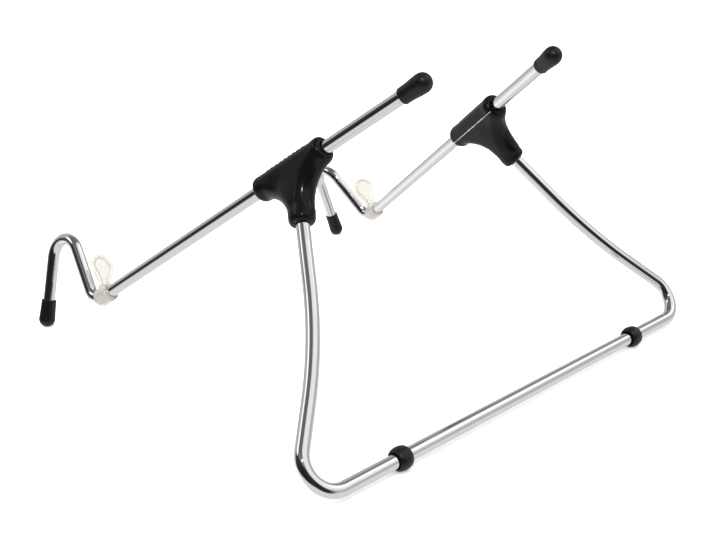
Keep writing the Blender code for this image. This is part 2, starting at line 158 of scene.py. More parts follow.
STOP_FROM_CORNER = {1: 9.2 * MM, -1: 10.9 * MM}    # right and left
STOP_RING_R = 4.5 * MM
STOP_RING_HALF = 4.5 * MM
STOP_RING_ROUNDING = 0.9 * MM
STOP_PLAY = 0.06 * MM
STOP_FLARE = 0.35 * MM
PADDLE_CENTRE = 15.5 * MM
PADDLE_R = 6.1 * MM
PADDLE_THICK = 2.0 * MM
PADDLE_START = 1.0 * MM
RIM_INSET = 0.75 * MM             # a raised rim round a thin plate
PLATE_INSET = 0.4 * MM
PLATE_HALF = 0.6 * MM
PLATE_ROUNDING = 0.5 * MM
NECK_HALF = 2.9 * MM
NECK_WIDENING = 1.0 * MM
NECK_FILLET = 3.5 * MM
RING_FILLET = 1.4 * MM
STOP_LEAN = {1: math.radians(30), -1: math.radians(9)}

# Camera, lamps and floor
CAMERA_PLACE = (0.3513, 0.3737, 0.2204)
CAMERA_LOOK = (-0.65337, -0.67320, -0.34628)
CAMERA_TOP = (-0.25341, -0.23654, 0.93799)
CAMERA_SENSOR = 36.0
CAMERA_LENS = 55.13
SUN_PLACE = (0.3, -0.2, 1.5)
SUN_STRENGTH = 4.6
SUN_SPREAD = math.radians(75)
GLINT_PLACE = (0.82, 0.79, 1.32)
GLINT_POWER = 6.5
GLINT_SIZE = 0.07
LAMP_AIM = (0, 0, 0.05)
FLOOR_RADIUS = 6.0

# Tent as the chrome sees it: its colours, and the heights (the Z of a direction) where they meet
TABLE = (0.78, 0.79, 0.76)
WALL = (0.50, 0.51, 0.50)
CEILING = (0.14, 0.155, 0.15)
ROOM = (0.035, 0.038, 0.042)
BACKDROP = (1.0, 1.0, 1.0)
TABLE_EDGE = (-0.22, -0.02)
CEILING_EDGE = (0.62, 0.85)
ROOM_TOWARD = (12, 0)             # azimuth and elevation in degrees
ROOM_SPREAD = (0.18, 0.52)
ROOM_FOOT = (-0.44, -0.16)
ROOM_HEAD = (0.80, 0.60)
# Softboxes and dark patches: azimuth, elevation, core and edge in degrees, colour
TENT_PATCHES = [
    (120, 50, 22, 38, (0.95, 0.95, 0.93)),
    (160, 42, 8, 20, (1.25, 1.25, 1.25)),
    (313, 38, 8, 16, (1.3, 1.3, 1.3)),
    (203, 38, 6, 16, (0.22, 0.22, 0.24)),
    (20, 10, 10, 34, (0.015, 0.016, 0.02)),
    (345, 0, 6, 20, (0.02, 0.02, 0.022)),
    (76, 4, 18, 36, (0.02, 0.026, 0.03)),
    (295, -42, 8, 24, (1.05, 1.05, 1.03)),
    (200, -38, 6, 20, (0.55, 0.56, 0.54)),
]

SIDES = {"right": 1, "left": -1}
MIRROR_X = Matrix.Diagonal((-1, 1, 1, 1))
JOINTS = {joint["name"]: joint for joint in frame["joints"]}
ROD_SEGMENTS = 48
TURNED_SEGMENTS = 64
TEE_CELL = 0.4 * MM
STOPPER_CELL = 0.3 * MM

SETTLE_ROUNDS = 16                # moves of a mesh onto its field's surface
LAST_ROUNDS = 3                   # the last of them don't even out the points
SETTLE_RELAX = 0.5
SETTLE_SHARE = 0.9
LONGEST_MOVE = 1.5 * MM
SLOPE_STEP = 0.02 * MM
FLATTEST_SLOPE = 0.2

NOISE_RANGE = (0.3, 0.7)          # where most of a noise texture's values lie
MIX_FIRST = 6                     # colour sockets of the Mix node
MIX_SECOND = 7
MIX_RESULT = 2


# ------------------------------------------------------------ joint frames
def arm_frame(side):
    """Frame of one arm: origin at the tee's centre, +Y along the arm to the rear."""
    place = Vector(JOINTS[f"{side}_swivel"]["pos_m"])
    along = Vector(JOINTS[f"{side}_slide"]["axis"]).normalized()
    across = along.cross(Vector((0, 0, 1))).normalized()
    up = across.cross(along)
    turn = Matrix((across, along, up)).transposed()
    return Matrix.Translation(place) @ turn.to_4x4()


def stem_direction():
    """Direction from the right tee's centre up its leg end, in the arm's frame."""
    axis = Vector(JOINTS["right_swivel"]["axis"]).normalized()
    upward = axis if axis.z > 0 else -axis
    return arm_frame("right").to_3x3().inverted() @ upward


# -------------------------------------------------------------- mesh makers
def finish_piece(name, mesh, material, body, nodes, sharp=None):
    """Put a mesh in the scene as a piece that rides on a body and stands for CAD nodes."""
    mesh.shade_smooth()
    if sharp is not None:
        mesh.set_sharp_from_angle(angle=math.radians(sharp))
    mesh.materials.clear()
    mesh.materials.append(material)
    obj = bpy.data.objects.new(name, mesh)
    bpy.context.scene.collection.objects.link(obj)
    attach(obj, body)
    if nodes:
        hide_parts(*nodes)


def place_mesh(mesh, matrix, side):
    """Move a mesh made for the right side to its place, mirrored for the left."""
    if SIDES[side] < 0:
        mesh.transform(MIRROR_X)
        mesh.flip_normals()
    mesh.transform(matrix)
    return mesh


def level(mesh):
    """Press the lowest points of a placed mesh up to the surface, as wear does."""
    points = np.zeros(len(mesh.vertices) * 3)
    mesh.vertices.foreach_get("co", points)
    points[2::3] = np.maximum(points[2::3], 0.0)
    mesh.vertices.foreach_set("co", points)
    mesh.update()


def skin(name, rings, closed_ends=False, looped=False):
    """Quad skin over rings of points; the ends are closed with flat fans or joined up."""
    count, around = rings.shape[:2]
    verts = rings.reshape(-1, 3)
    faces = []
    uvs = []
    last = count if looped else count - 1
    for i in range(last):
        for j in range(around):
            a = i * around + j
            b = i * around + (j + 1) % around
            c = ((i + 1) % count) * around + (j + 1) % around
            d = ((i + 1) % count) * around + j
            faces.append((a, b, c, d))
            uvs.append(((j, i), (j + 1, i), (j + 1, i + 1), (j, i + 1)))
    if closed_ends:
        faces.append(tuple(range(around - 1, -1, -1)))
        faces.append(tuple((count - 1) * around + j for j in range(around)))
        uvs.append([(j, 0) for j in range(around)])
        uvs.append([(j, count - 1) for j in range(around)])
    mesh = bpy.data.meshes.new(name)
    mesh.from_pydata(verts.tolist(), [], faces)
    layer = mesh.uv_layers.new(name="UVMap")
    flat = [(u / around, v / count) for face in uvs for u, v in face]
    layer.data.foreach_set("uv", np.array(flat, np.float32).ravel())
    bm = bmesh.new()
    bm.from_mesh(mesh)
    bmesh.ops.remove_doubles(bm, verts=bm.verts, dist=1e-7)
    bmesh.ops.recalc_face_normals(bm, faces=bm.faces)
    bm.to_mesh(mesh)
    bm.free()
    return mesh


def tube(name, points, radii):
    """Round rod through points, with a frame that doesn't twist."""
    points = [Vector(p) for p in points]
    rings = []
    tangents = []
    for i in range(len(points)):
        before = points[max(i - 1, 0)]
        after = points[min(i + 1, len(points) - 1)]
        tangents.append((after - before).normalized())
    normal = tangents[0].orthogonal().normalized()
    angles = np.linspace(0, 2 * math.pi, ROD_SEGMENTS, endpoint=False)
    for i, (point, radius) in enumerate(zip(points, radii)):
        if i:
            turn = tangents[i - 1].rotation_difference(tangents[i])
            normal = turn @ normal
        side = tangents[i].cross(normal)
        ring = [point + (normal * math.cos(a) + side * math.sin(a)) * radius for a in angles]
        rings.append([tuple(p) for p in ring])
    return skin(name, np.array(rings), closed_ends=True)


def turned(name, profile):
    """Turn a closed (y, radius) outline about the Y axis."""
    angles = np.linspace(0, 2 * math.pi, TURNED_SEGMENTS, endpoint=False)
    rings = [
        [(r * math.sin(a), y, r * math.cos(a)) for a in angles]
        for y, r in profile]
    return skin(name, np.array(rings), looped=True)


def arc(centre, radius, start, end, steps):
    """Points of a plane arc, with both ends, angles in degrees."""
    angles = np.radians(np.linspace(start, end, steps + 1))
    return [(centre[0] + radius * math.cos(a), centre[1] + radius * math.sin(a)) for a in angles]


def corner_arc(before, corner, after, radius, steps):
    """Points of the arc that rounds a corner between two straight stretches."""
    to_before = (before - corner).normalized()
    to_after = (after - corner).normalized()
    half = to_before.angle(to_after) / 2
    middle = (to_before + to_after).normalized()
    centre = corner + middle * (radius / math.sin(half))
    first = corner + to_before * (radius / math.tan(half)) - centre
    axis = to_after.cross(to_before).normalized()
    total = math.pi - 2 * half
    return [centre + Matrix.Rotation(total * i / steps, 3, axis) @ first for i in range(steps + 1)]


def stretch(start, end, step):
    """Points along a straight stretch, without its ends."""
    count = max(1, round((end - start).length / step))
    return [start.lerp(end, i / count) for i in range(1, count)]


# ------------------------------------------------------- implicit surfaces
def smooth_min(a, b, k):
    """Union of two distance fields with a fillet of about k."""
    h = np.clip(0.5 + 0.5 * (b - a) / k, 0, 1)
    return b + (a - b) * h - k * h * (1 - h)


def smooth_step(value, low, high):
    """Ease from 0 to 1 between two values."""
    t = np.clip((value - low) / (high - low), 0, 1)
    return t * t * (3 - 2 * t)


def smooth_max(a, b, k):
    """Overlap of two distance fields with a rounded edge of about k."""
    return -smooth_min(-a, -b, k)


def round_rod(along, radial, low, high, radius, rounding):
    """Distance to a rod with rounded ends."""
    middle = (low + high) / 2
    q_radial = radial - (radius - rounding)
    q_along = np.abs(along - middle) - ((high - low) / 2 - rounding)
    inside = np.minimum(np.maximum(q_radial, q_along), 0)
    outside = np.hypot(np.maximum(q_radial, 0), np.maximum(q_along, 0))
    return inside + outside - rounding


def settle(mesh, field):
    """Draw a mesh onto a field's zero surface, evening out its points as it goes."""
    count = len(mesh.vertices)
    points = np.zeros(count * 3)
    mesh.vertices.foreach_get("co", points)
    points = points.reshape(-1, 3)
    edges = np.zeros(len(mesh.edges) * 2, int)
    mesh.edges.foreach_get("vertices", edges)
    a, b = edges.reshape(-1, 2).T
    degree = np.bincount(np.r_[a, b], minlength=count)[:, None]
    nudges = SLOPE_STEP * np.eye(3)
    for i in range(SETTLE_ROUNDS):
        total = np.zeros_like(points)
        np.add.at(total, a, points[b])
        np.add.at(total, b, points[a])
        pull = (total / degree - points) * SETTLE_RELAX
        value = field(points)
        gradient = np.stack([
            (field(points + nudge) - field(points - nudge)) / (2 * SLOPE_STEP)
            for nudge in nudges], axis=1)
        length = np.maximum(np.linalg.norm(gradient, axis=1, keepdims=True), FLATTEST_SLOPE)
        normal = gradient / length
        if i < SETTLE_ROUNDS - LAST_ROUNDS:
            points = points + pull - normal * (pull * normal).sum(1, keepdims=True)
            value = field(points)
        step = np.clip(value[:, None] / length, -LONGEST_MOVE, LONGEST_MOVE)
        points = points - normal * step * SETTLE_SHARE
    mesh.vertices.foreach_set("co", points.ravel())
    mesh.update()
    return mesh


def surface_mesh(name, field, low, high, cell):
    """Even quad mesh of a field's zero surface, with one point in each grid cell that it crosses."""
    low = np.array(low)
    sizes = [int(round((top - bottom) / cell)) + 1 for bottom, top in zip(low, high)]
    steps = np.stack(np.meshgrid(*[np.arange(n) for n in sizes], indexing="ij"), axis=-1)
    inside = (field(low + steps.reshape(-1, 3) * cell) < 0).reshape(sizes)
    filled = sum(
        inside[i:sizes[0] - 1 + i, j:sizes[1] - 1 + j, k:sizes[2] - 1 + k].astype(int)
        for i in (0, 1) for j in (0, 1) for k in (0, 1))
    crossed = (filled > 0) & (filled < 8)
    index = np.full(crossed.shape, -1)
    index[crossed] = np.arange(crossed.sum())
    points = low + (np.argwhere(crossed) + 0.5) * cell
    faces = []
    for axis in range(3):
        first = np.take(inside, range(sizes[axis] - 1), axis)
        second = np.take(inside, range(1, sizes[axis]), axis)
        at = np.argwhere(first != second)
        leaving = first[tuple(at.T)]
        u = np.eye(3, dtype=int)[(axis + 1) % 3]
        v = np.eye(3, dtype=int)[(axis + 2) % 3]
        around = [index[tuple((at - offset).T)] for offset in (0 * u, u, u + v, v)]
        quads = np.stack(around, axis=1)
        quads[~leaving] = quads[~leaving][:, ::-1]
        faces.append(quads)
    mesh = bpy.data.meshes.new(name)
    mesh.from_pydata(points.tolist(), [], np.concatenate(faces).tolist())
    mesh.update()
    return settle(mesh, field)


def carved(name, mesh, steps):
    """Add and cut shapes with exact Booleans."""
    obj = bpy.data.objects.new(name, mesh)
    bpy.context.scene.collection.objects.link(obj)
    tools = []
    for operation, tool_mesh in steps:
        tool = bpy.data.objects.new("tool", tool_mesh)
        bpy.context.scene.collection.objects.link(tool)
        modifier = obj.modifiers.new(operation, "BOOLEAN")
        modifier.operation = operation
        modifier.solver = "EXACT"
        modifier.object = tool
        tools.append(tool)
    graph = bpy.context.evaluated_depsgraph_get()
    result = bpy.data.meshes.new_from_object(obj.evaluated_get(graph))
    for item in [obj, *tools]:
        bpy.data.objects.remove(item, do_unlink=True)
    return result


def block(low, high):
    """A box mesh between two corners."""
    centre = (Vector(low) + Vector(high)) / 2
    size = Vector(high) - Vector(low)
    bm = bmesh.new()
    place = Matrix.Translation(centre) @ Matrix.Diagonal((*size, 1))
    bmesh.ops.create_cube(bm, size=1.0, matrix=place)
    mesh = bpy.data.meshes.new("block")
    bm.to_mesh(mesh)
    bm.free()
    return mesh


# ---------------------------------------------------------------- materials
class Nodes:
    """Short hand for building a material's node tree."""

    def __init__(self, name):
        self.material = bpy.data.materials.new(name)
        self.material.use_nodes = True
        self.tree = self.material.node_tree
        self.shader = self.tree.nodes["Principled BSDF"]
        self.coords = self.tree.nodes.new("ShaderNodeTexCoord")

    def set(self, **values):
        """Set sockets of the shader, with _ for a space."""
        for key, value in values.items():
            self.shader.inputs[key.replace("_", " ")].default_value = value

    def link(self, source, target):
        """Join an output to an input."""
        self.tree.links.new(source, target)

    def noise(self, scale, detail, scales=None, coordinate="Object"):
        """Noise texture, which may be stretched along an axis."""
        node = self.tree.nodes.new("ShaderNodeTexNoise")
        node.inputs["Scale"].default_value = scale
        node.inputs["Detail"].default_value = detail
        source = self.coords.outputs[coordinate]
        if scales:
            mapping = self.tree.nodes.new("ShaderNodeMapping")
            mapping.inputs["Scale"].default_value = scales
            self.link(source, mapping.inputs["Vector"])
            source = mapping.outputs["Vector"]
        self.link(source, node.inputs["Vector"])
        return node.outputs["Fac"]

    def ramp(self, source, low, high):
        """Map a noise to a range of numbers."""
        node = self.tree.nodes.new("ShaderNodeMapRange")
        node.inputs["From Min"].default_value = NOISE_RANGE[0]
        node.inputs["From Max"].default_value = NOISE_RANGE[1]
        node.inputs["To Min"].default_value = low
        node.inputs["To Max"].default_value = high
        self.link(source, node.inputs["Value"])
        return node.outputs["Result"]

    def mix(self, factor, first, second):
        """Mix two colours by a factor."""
        node = self.tree.nodes.new("ShaderNodeMix")
        node.data_type = "RGBA"
        self.link(factor, node.inputs["Factor"])
        node.inputs[MIX_FIRST].default_value = (*first, 1)
        node.inputs[MIX_SECOND].default_value = (*second, 1)
        return node.outputs[MIX_RESULT]

    def colour(self, scale, detail, first, second):
        """Base colour that drifts between two colours with a noise."""
        drift = self.mix(self.noise(scale, detail), first, second)
        self.link(drift, self.shader.inputs["Base Color"])

    def roughness(self, scale, detail, low, high):
        """Roughness that drifts between two values with a noise."""
        drift = self.ramp(self.noise(scale, detail), low, high)
        self.link(drift, self.shader.inputs["Roughness"])

    def bump(self, source, distance):
        """Bump of a full height from a height factor."""
        node = self.tree.nodes.new("ShaderNodeBump")
        node.inputs["Distance"].default_value = distance
        node.inputs["Strength"].default_value = 1.0
        self.link(source, node.inputs["Height"])
        self.link(node.outputs["Normal"], self.shader.inputs["Normal"])


def chrome_material():
    """Bright chrome plate with faint draw marks along the wire and soft haze."""
    m = Nodes("bright_chrome")
    m.set(Metallic=1.0)
    m.roughness(140, 3, 0.035, 0.085)
    m.colour(45, 2, (0.86, 0.865, 0.87), (0.80, 0.80, 0.805))
    m.bump(m.noise(1.0, 3, scales=(70, 3, 1), coordinate="UV"), 0.006 * MM)
    return m.material


def gloss_plastic_material():
    """Glossy black moulding with a faint moulded ripple and polish marks."""
    m = Nodes("gloss_black_moulding")
    m.set(Specular_IOR_Level=0.19)
    m.colour(90, 3, (0.0034, 0.0028, 0.0028), (0.0056, 0.0048, 0.0047))
    m.roughness(260, 4, 0.13, 0.24)
    m.bump(m.noise(160, 2), 0.02 * MM)
    return m.material


def rubber_material():
    """Matt black rubber with fine grain and dusty wear."""
    m = Nodes("matt_black_rubber")
    m.set(Specular_IOR_Level=0.36)
    m.colour(220, 5, (0.0025, 0.0025, 0.0027), (0.006, 0.0058, 0.0056))
    m.roughness(500, 4, 0.30, 0.44)
    m.bump(m.noise(2600, 4), 0.03 * MM)
    return m.material


def clear_plastic_material():
    """Clear soft plastic, faintly warm, with a moulded haze."""
    m = Nodes("clear_soft_plastic")
    m.set(Transmission_Weight=0.6, IOR=1.46)
    m.colour(300, 3, (0.70, 0.67, 0.62), (0.62, 0.59, 0.545))
    m.roughness(700, 4, 0.08, 0.22)
    m.bump(m.noise(420, 3), 0.05 * MM)
    return m.material


def nylon_material():
    """Natural nylon, with a faint turned grain."""
    m = Nodes("natural_nylon")
    m.set(Subsurface_Weight=0.1)
    m.colour(400, 4, (0.70, 0.68, 0.61), (0.60, 0.58, 0.52))
    m.roughness(900, 3, 0.38, 0.52)
    m.bump(m.noise(1800, 3), 0.02 * MM)
    return m.material


def spring_steel_material():
    """Oiled spring steel."""
    m = Nodes("oiled_spring_steel")
    m.set(Metallic=1.0)
    m.colour(500, 4, (0.30, 0.30, 0.31), (0.20, 0.19, 0.18))
    m.roughness(1400, 3, 0.28, 0.42)
    m.bump(m.noise(2500, 3), 0.01 * MM)
    return m.material


# ------------------------------------------------------------------- pieces
def leg_path():
    """Leg's placed centre line and radii, from one grooved end to the other."""
    middle = Vector((0, 0, 0))
    bar_end = Vector((BAR_HALF, 0, 0))
    points = [middle, *stretch(middle, bar_end, COARSE_STEP), bar_end]
    heading = 0.0

    def bend(radius, turn, steps):
        nonlocal heading
        normal = Vector((-math.sin(heading), 0, math.cos(heading))) * math.copysign(1, turn)
        centre = points[-1] + normal * radius
        spoke = points[-1] - centre
        for i in range(1, steps + 1):
            points.append(centre + Matrix.Rotation(-turn * i / steps, 3, "Y") @ spoke)
        heading += turn

    def straight(length):
        start = points[-1]
        end = start + Vector((math.cos(heading), 0, math.sin(heading))) * length
        points.extend(stretch(start, end, FINE_STEP))
        points.append(end)

    bend(CORNER_R, CORNER_TURN, 40)
    straight(LOWER_SIDE)
    bend(SWEEP_R, -SWEEP_TURN, 16)
    straight(UPPER_SIDE - LEG_END_DROP - GROOVED_END)
    along = Vector((math.cos(heading), 0, math.sin(heading)))
    axis_point = points[-1] + along * (LEG_END_DROP + GROOVED_END)
    radii = [ROD_R] * len(points)
    for drop, radius in (
            (GROOVE[1], ROD_R),
            (GROOVE[1] - GROOVE_WALL, GROOVE_R),
            (GROOVE[0] + GROOVE_WALL, GROOVE_R),
            (GROOVE[0], ROD_R),
            (LEG_END_DROP + LEG_END_CHAMFER, ROD_R),
            (LEG_END_DROP, ROD_R - LEG_END_CHAMFER)):
        points.append(axis_point - along * drop)
        radii.append(radius)
    points = [Vector((-p.x, 0, p.z)) for p in points[:0:-1]] + points
    radii = radii[:0:-1] + radii
    low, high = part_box("bar_bumper_right")
    place = Matrix.Translation((0, (low.y + high.y) / 2, BAR_Z)) @ Matrix.Rotation(LEG_LEAN, 4, "X")
    return [place @ p for p in points], radii


def make_leg(material):
    """The bell-shaped rod."""
    points, radii = leg_path()
    mesh = tube("leg_wire", points, radii)
    finish_piece("leg_wire", mesh, material, "leg", ["leg_rod"], sharp=60)


def arm_path():
    """Right arm's centre line in its frame, from the rear end to the foot's dome."""
    rear_end = Vector((0, ARM_REAR - REAR_CAP_LENGTH + REAR_CAP_BORE - REAR_CAP_GAP, 0))
    corner = Vector((0, -ARM_FRONT, 0))
    top = corner + HOOK_TOP
    foot = corner + HOOK_FOOT
    low = corner_arc(rear_end, corner, top, ARM_CORNER_R, 26)
    high = corner_arc(corner, top, foot, HOOK_TOP_R, 34)
    return [
        rear_end, *stretch(rear_end, low[0], COARSE_STEP), *low,
        *stretch(low[-1], high[0], FINE_STEP), *high,
        *stretch(high[-1], foot, FINE_STEP), foot]


def make_arm(side, material):
    """Hooked arm rod."""
    points = arm_path()
    mesh = tube(f"arm_wire_{side}", points, [ARM_WIRE_R] * len(points))
    place_mesh(mesh, arm_frame(side), side)
    finish_piece(
        f"arm_wire_{side}", mesh, material, f"arm_{side}", [f"arm_rod_{side}"], sharp=60)


def make_bumper(side, material):
    """Bead-shaped rubber ring on the bottom bar, with its worn flat."""
    crown = BUMPER_R - BUMPER_END_R
    outer = [
        (BUMPER_HALF * math.cos(a), BUMPER_END_R + crown * math.sin(a) ** BUMPER_FULLNESS)
        for a in np.linspace(0, math.pi, 25)]
    bore = ROD_R + BUMPER_PLAY
    inner = BUMPER_HALF - BUMPER_CHAMFER
    mesh = turned(f"bar_ring_{side}", [(inner, bore), *outer, (-inner, bore)])
    low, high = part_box(f"bar_bumper_{side}")
    place = Matrix.Translation(((low.x + high.x) / 2, (low.y + high.y) / 2, BAR_Z))
    mesh.transform(place @ Matrix.Rotation(-math.pi / 2, 4, "Z"))
    level(mesh)
    finish_piece(
        f"bar_ring_{side}", mesh, material, "leg", [f"bar_bumper_{side}"], sharp=50)


def cap_lip(rim, opening, rounding):
    """Outline of a cap's open end, from the mouth round to the outside."""
    return [
        (0.0, CAP_BORE_R + opening), (0.0, rim - rounding),
        *arc((rounding, rim - rounding), rounding, 180, 90, 5)]


def make_rear_cap(side, material):
    """Bulb-ended rubber cap."""
    length = REAR_CAP_LENGTH
    rim = REAR_CAP_RIM_R
    bulb = REAR_CAP_BULB_R
    centre = length - bulb
    neck = [
        (centre * (REAR_CAP_NECK + (1 - REAR_CAP_NECK) * t),
         rim + (bulb - rim) * (0.5 - 0.5 * math.cos(math.pi * t)) ** REAR_CAP_FULLNESS)
        for t in np.linspace(0, 1, 20)]
    profile = [*cap_lip(rim, *REAR_CAP_LIP), *neck, *arc((centre, 0), bulb, 88, 0, 28)[:-1]]
    profile += [(length, 0), (REAR_CAP_BORE, 0), (REAR_CAP_BORE, CAP_BORE_R), (CAP_CHAMFER, CAP_BORE_R)]
    mesh = turned(f"rear_bulb_{side}", profile)
    mesh.transform(Matrix.Translation((0, ARM_REAR - length, 0)))
    place_mesh(mesh, arm_frame(side), side)
    finish_piece(
        f"rear_bulb_{side}", mesh, material, f"arm_{side}", [f"rear_cap_{side}"], sharp=50)


def make_foot_cap(side, material):
    """Rubber cap on the hook's foot."""
    length = FOOT_CAP_LENGTH
    rim = FOOT_CAP_RIM_R
    dome = FOOT_CAP_DOME_R
    centre = length - dome
    bottom = centre + FOOT_CAP_GAP
    body = [
        (centre * t, rim + (dome - rim) * t ** FOOT_CAP_FULLNESS)
        for t in np.linspace(0.06, 0.98, 16)]
    profile = [*cap_lip(rim, *FOOT_CAP_LIP), *body, *arc((centre, 0), dome, 90, 0, 26)[:-1]]
    profile += [(length, 0), (bottom, 0), (bottom, CAP_BORE_R), (CAP_CHAMFER, CAP_BORE_R)]
    mesh = turned(f"foot_boot_{side}", profile)
    points = arm_path()
    foot = points[-1]
    down = (foot - points[-2]).normalized()
    turn = Vector((0, 1, 0)).rotation_difference(down).to_matrix().to_4x4()
    mesh.transform(Matrix.Translation(foot - down * centre) @ turn)
    place_mesh(mesh, arm_frame(side), side)
    level(mesh)
    finish_piece(
        f"foot_boot_{side}", mesh, material, f"arm_{side}", [f"foot_cap_{side}"], sharp=50)


def stem_lean():
    """Turn about the arm that brings the moulding's upright plane onto the stem."""
    up = stem_direction()
    return math.atan2(up.x, up.z)


def end_swell(along, end, swell):
    """Slight swelling near an end."""
    size, start, full = swell
    return size * smooth_step(along, end - start, end - full)


def tee_field(side):
    """Distance to a tee's outer shape, as on the right side, with the stem hanging down -Z."""
    front, rear = HEAD_ENDS[side]
    ahead, behind = (BROAD_HOLLOW, TIGHT_HOLLOW)[::SIDES[side]]
    tilt = math.asin(stem_direction().y)

    def outline(y, z):
        """Distance to the tee's flat outline: the head, the stem and the web between them."""
        across = y * math.cos(tilt) - z * math.sin(tilt)
        web = np.maximum(*[
            radius - np.hypot(y - way * (beside + radius), z + below + radius)
            for way, (beside, below, radius) in ((-1, ahead), (1, behind))])
        web = np.maximum(web, z - HEAD_R)
        web = smooth_max(web, -WEB_DEPTH - z, WEB_ROUNDING)
        head = np.abs(z) - HEAD_R
        stem = np.maximum(np.abs(across) - STEM_R, z)
        return smooth_min(np.minimum(head, stem), web, WEB_FILLET)

    def field(p):
        """Distance to the outline, rounded to the head's radius, with its ends and mouths."""
        x, y, z = p.T
        t = -y * math.sin(tilt) - z * math.cos(tilt)
        swell = end_swell(y, rear, REAR_SWELL)
        swell += end_swell(-y, front, FRONT_SWELL)
        swell += end_swell(t, STEM_LENGTH, STEM_SWELL)
        swell -= WAIST * np.exp(-((t - WAIST_AT) / WAIST_LENGTH) ** 2)
        sink = np.hypot(y + SIDES[side] * SINK_Y, z + SINK_Z) / SINK_R
        half = HEAD_R - SINK_DEPTH * np.exp(-sink ** 2)
        inset = np.maximum(outline(y, z) + HEAD_R, 0.0)
        shape = np.hypot(inset, x * HEAD_R / half) - HEAD_R - swell
        for past_end in (y - rear, -front - y, t - STEM_LENGTH):
            shape = smooth_max(shape, past_end, END_ROUNDING)
        inward = np.minimum(rear - y, y + front)
        around = np.hypot(x, z)
        mouth = MOUTH_R * (1 - smooth_step(inward, MOUTH_START, MOUTH_DEPTH)) + HEAD_BORE_R - MOUTH_MARGIN
        return smooth_max(shape, mouth - around, MOUTH_ROUNDING)

    return field


def tee_mesh(side):
    """Moulded tee in the arm's frame, as on the right side."""
    front, rear = HEAD_ENDS[side]
    reach = 7.5 * MM
    beyond = 2 * MM
    low = (-reach, -front - MM, -STEM_LENGTH - MM)
    high = (reach, rear + MM, reach)
    mesh = surface_mesh("tee", tee_field(side), low, high, TEE_CELL)
    upright = Matrix.Rotation(stem_lean(), 4, "Y")
    mesh.transform(upright)
    bore = turned("bore", [
        (rear + beyond, 0), (rear + beyond, HEAD_BORE_R),
        (rear - LIP, HEAD_BORE_R), (rear - LIP, CHAMBER_R),
        (LIP - front, CHAMBER_R), (LIP - front, HEAD_BORE_R),
        (-front - beyond, HEAD_BORE_R), (-front - beyond, 0)])
    socket_end = STEM_LENGTH - STEM_RIM
    socket = turned("socket", [
        (STEM_BORE_TOP, 0), (STEM_BORE_TOP, STEM_BORE_R),
        (socket_end, STEM_BORE_R), (socket_end, HEAD_BORE_R),
        (STEM_LENGTH + beyond, HEAD_BORE_R), (STEM_LENGTH + beyond, 0)])
    socket.transform(Vector((0, 1, 0)).rotation_difference(-stem_direction()).to_matrix().to_4x4())
    slit = block((-reach, -front - beyond, -SLIT / 2), (SLIT_END, rear + beyond, SLIT / 2))
    slit.transform(upright)
    notch = block((-reach, -NOTCH_HALF, -NOTCH_HALF), (NOTCH_END, NOTCH_HALF, NOTCH_HALF))
    on_corner = Matrix.Rotation(math.radians(45), 4, "X")
    notch.transform(upright @ Matrix.Translation((0, -front, 0)) @ on_corner)
    ribs = join("ribs", rib_bars((rear - front) / 2))
    cuts = [("DIFFERENCE", tool) for tool in (bore, socket, slit, notch)]
    return carved("tee", mesh, [("UNION", ribs), *cuts])


def rib_bars(middle):
    """Row of small rounded grip ribs along the top of the head."""
    bars = []
    for i in range(RIB_COUNT):
        y = middle + (i - (RIB_COUNT - 1) / 2) * RIB_PITCH
        rings = []
        for a in np.linspace(-RIB_HALF_TURN, RIB_HALF_TURN, 11):
            taper = math.sqrt(max(1 - (a / RIB_HALF_TURN) ** 4, 0.03))
            ring = []
            for b in np.linspace(0, 2 * math.pi, 12, endpoint=False):
                r = HEAD_R + RIB_HEIGHT * math.sin(b) * taper
                along = y + RIB_HALF_WIDTH * math.cos(b) * taper
                turn = a + RIB_LEAN
                ring.append((r * math.sin(turn), along, r * math.cos(turn)))
            rings.append(ring)
        bars.append(skin("rib", np.array(rings), closed_ends=True))
    return bars


def join(name, meshes):
    """One mesh from several."""
    bm = bmesh.new()
    for mesh in meshes:
        bm.from_mesh(mesh)
    result = bpy.data.meshes.new(name)
    bm.to_mesh(result)
    bm.free()
    return result


def stopper_field(p):
    """Distance to a stopper, in its own frame: ring about Y, paddle up Z."""
    x, y, z = p.T
    ring = round_rod(
        y, np.hypot(x, z), -STOP_RING_HALF, STOP_RING_HALF, STOP_RING_R, STOP_RING_ROUNDING)
    disc = np.hypot(x, z - PADDLE_CENTRE) - PADDLE_R
    widen = np.clip(z / PADDLE_CENTRE, 0, 1)
    neck = np.maximum(
        np.abs(x) - NECK_HALF - widen * NECK_WIDENING, np.abs(z - PADDLE_CENTRE / 2) - PADDLE_CENTRE / 2)
    outline = smooth_min(disc, neck, NECK_FILLET)
    rim = np.hypot(outline + RIM_INSET, y) - PADDLE_THICK / 2
    plate = smooth_max(outline + PLATE_INSET, np.abs(y) - PLATE_HALF, PLATE_ROUNDING)
    paddle = np.maximum(smooth_min(plate, rim, PLATE_ROUNDING), PADDLE_START - z)
    return smooth_min(ring, paddle, RING_FILLET)


def stopper_mesh():
    """Stopper without its lean."""
    wide = PADDLE_R + MM
    long = STOP_RING_HALF + MM
    tall = PADDLE_CENTRE + PADDLE_R + MM
    low = (-wide, -long, -STOP_RING_R - MM)
    mesh = surface_mesh("stopper", stopper_field, low, (wide, long, tall), STOPPER_CELL)
    bore_r = ROD_R + STOP_PLAY
    bore = turned("bore", [
        (long, 0), (long, bore_r), (-MM, bore_r), (-long, bore_r + STOP_FLARE), (-long, 0)])
    return carved("stopper", mesh, [("DIFFERENCE", bore)])


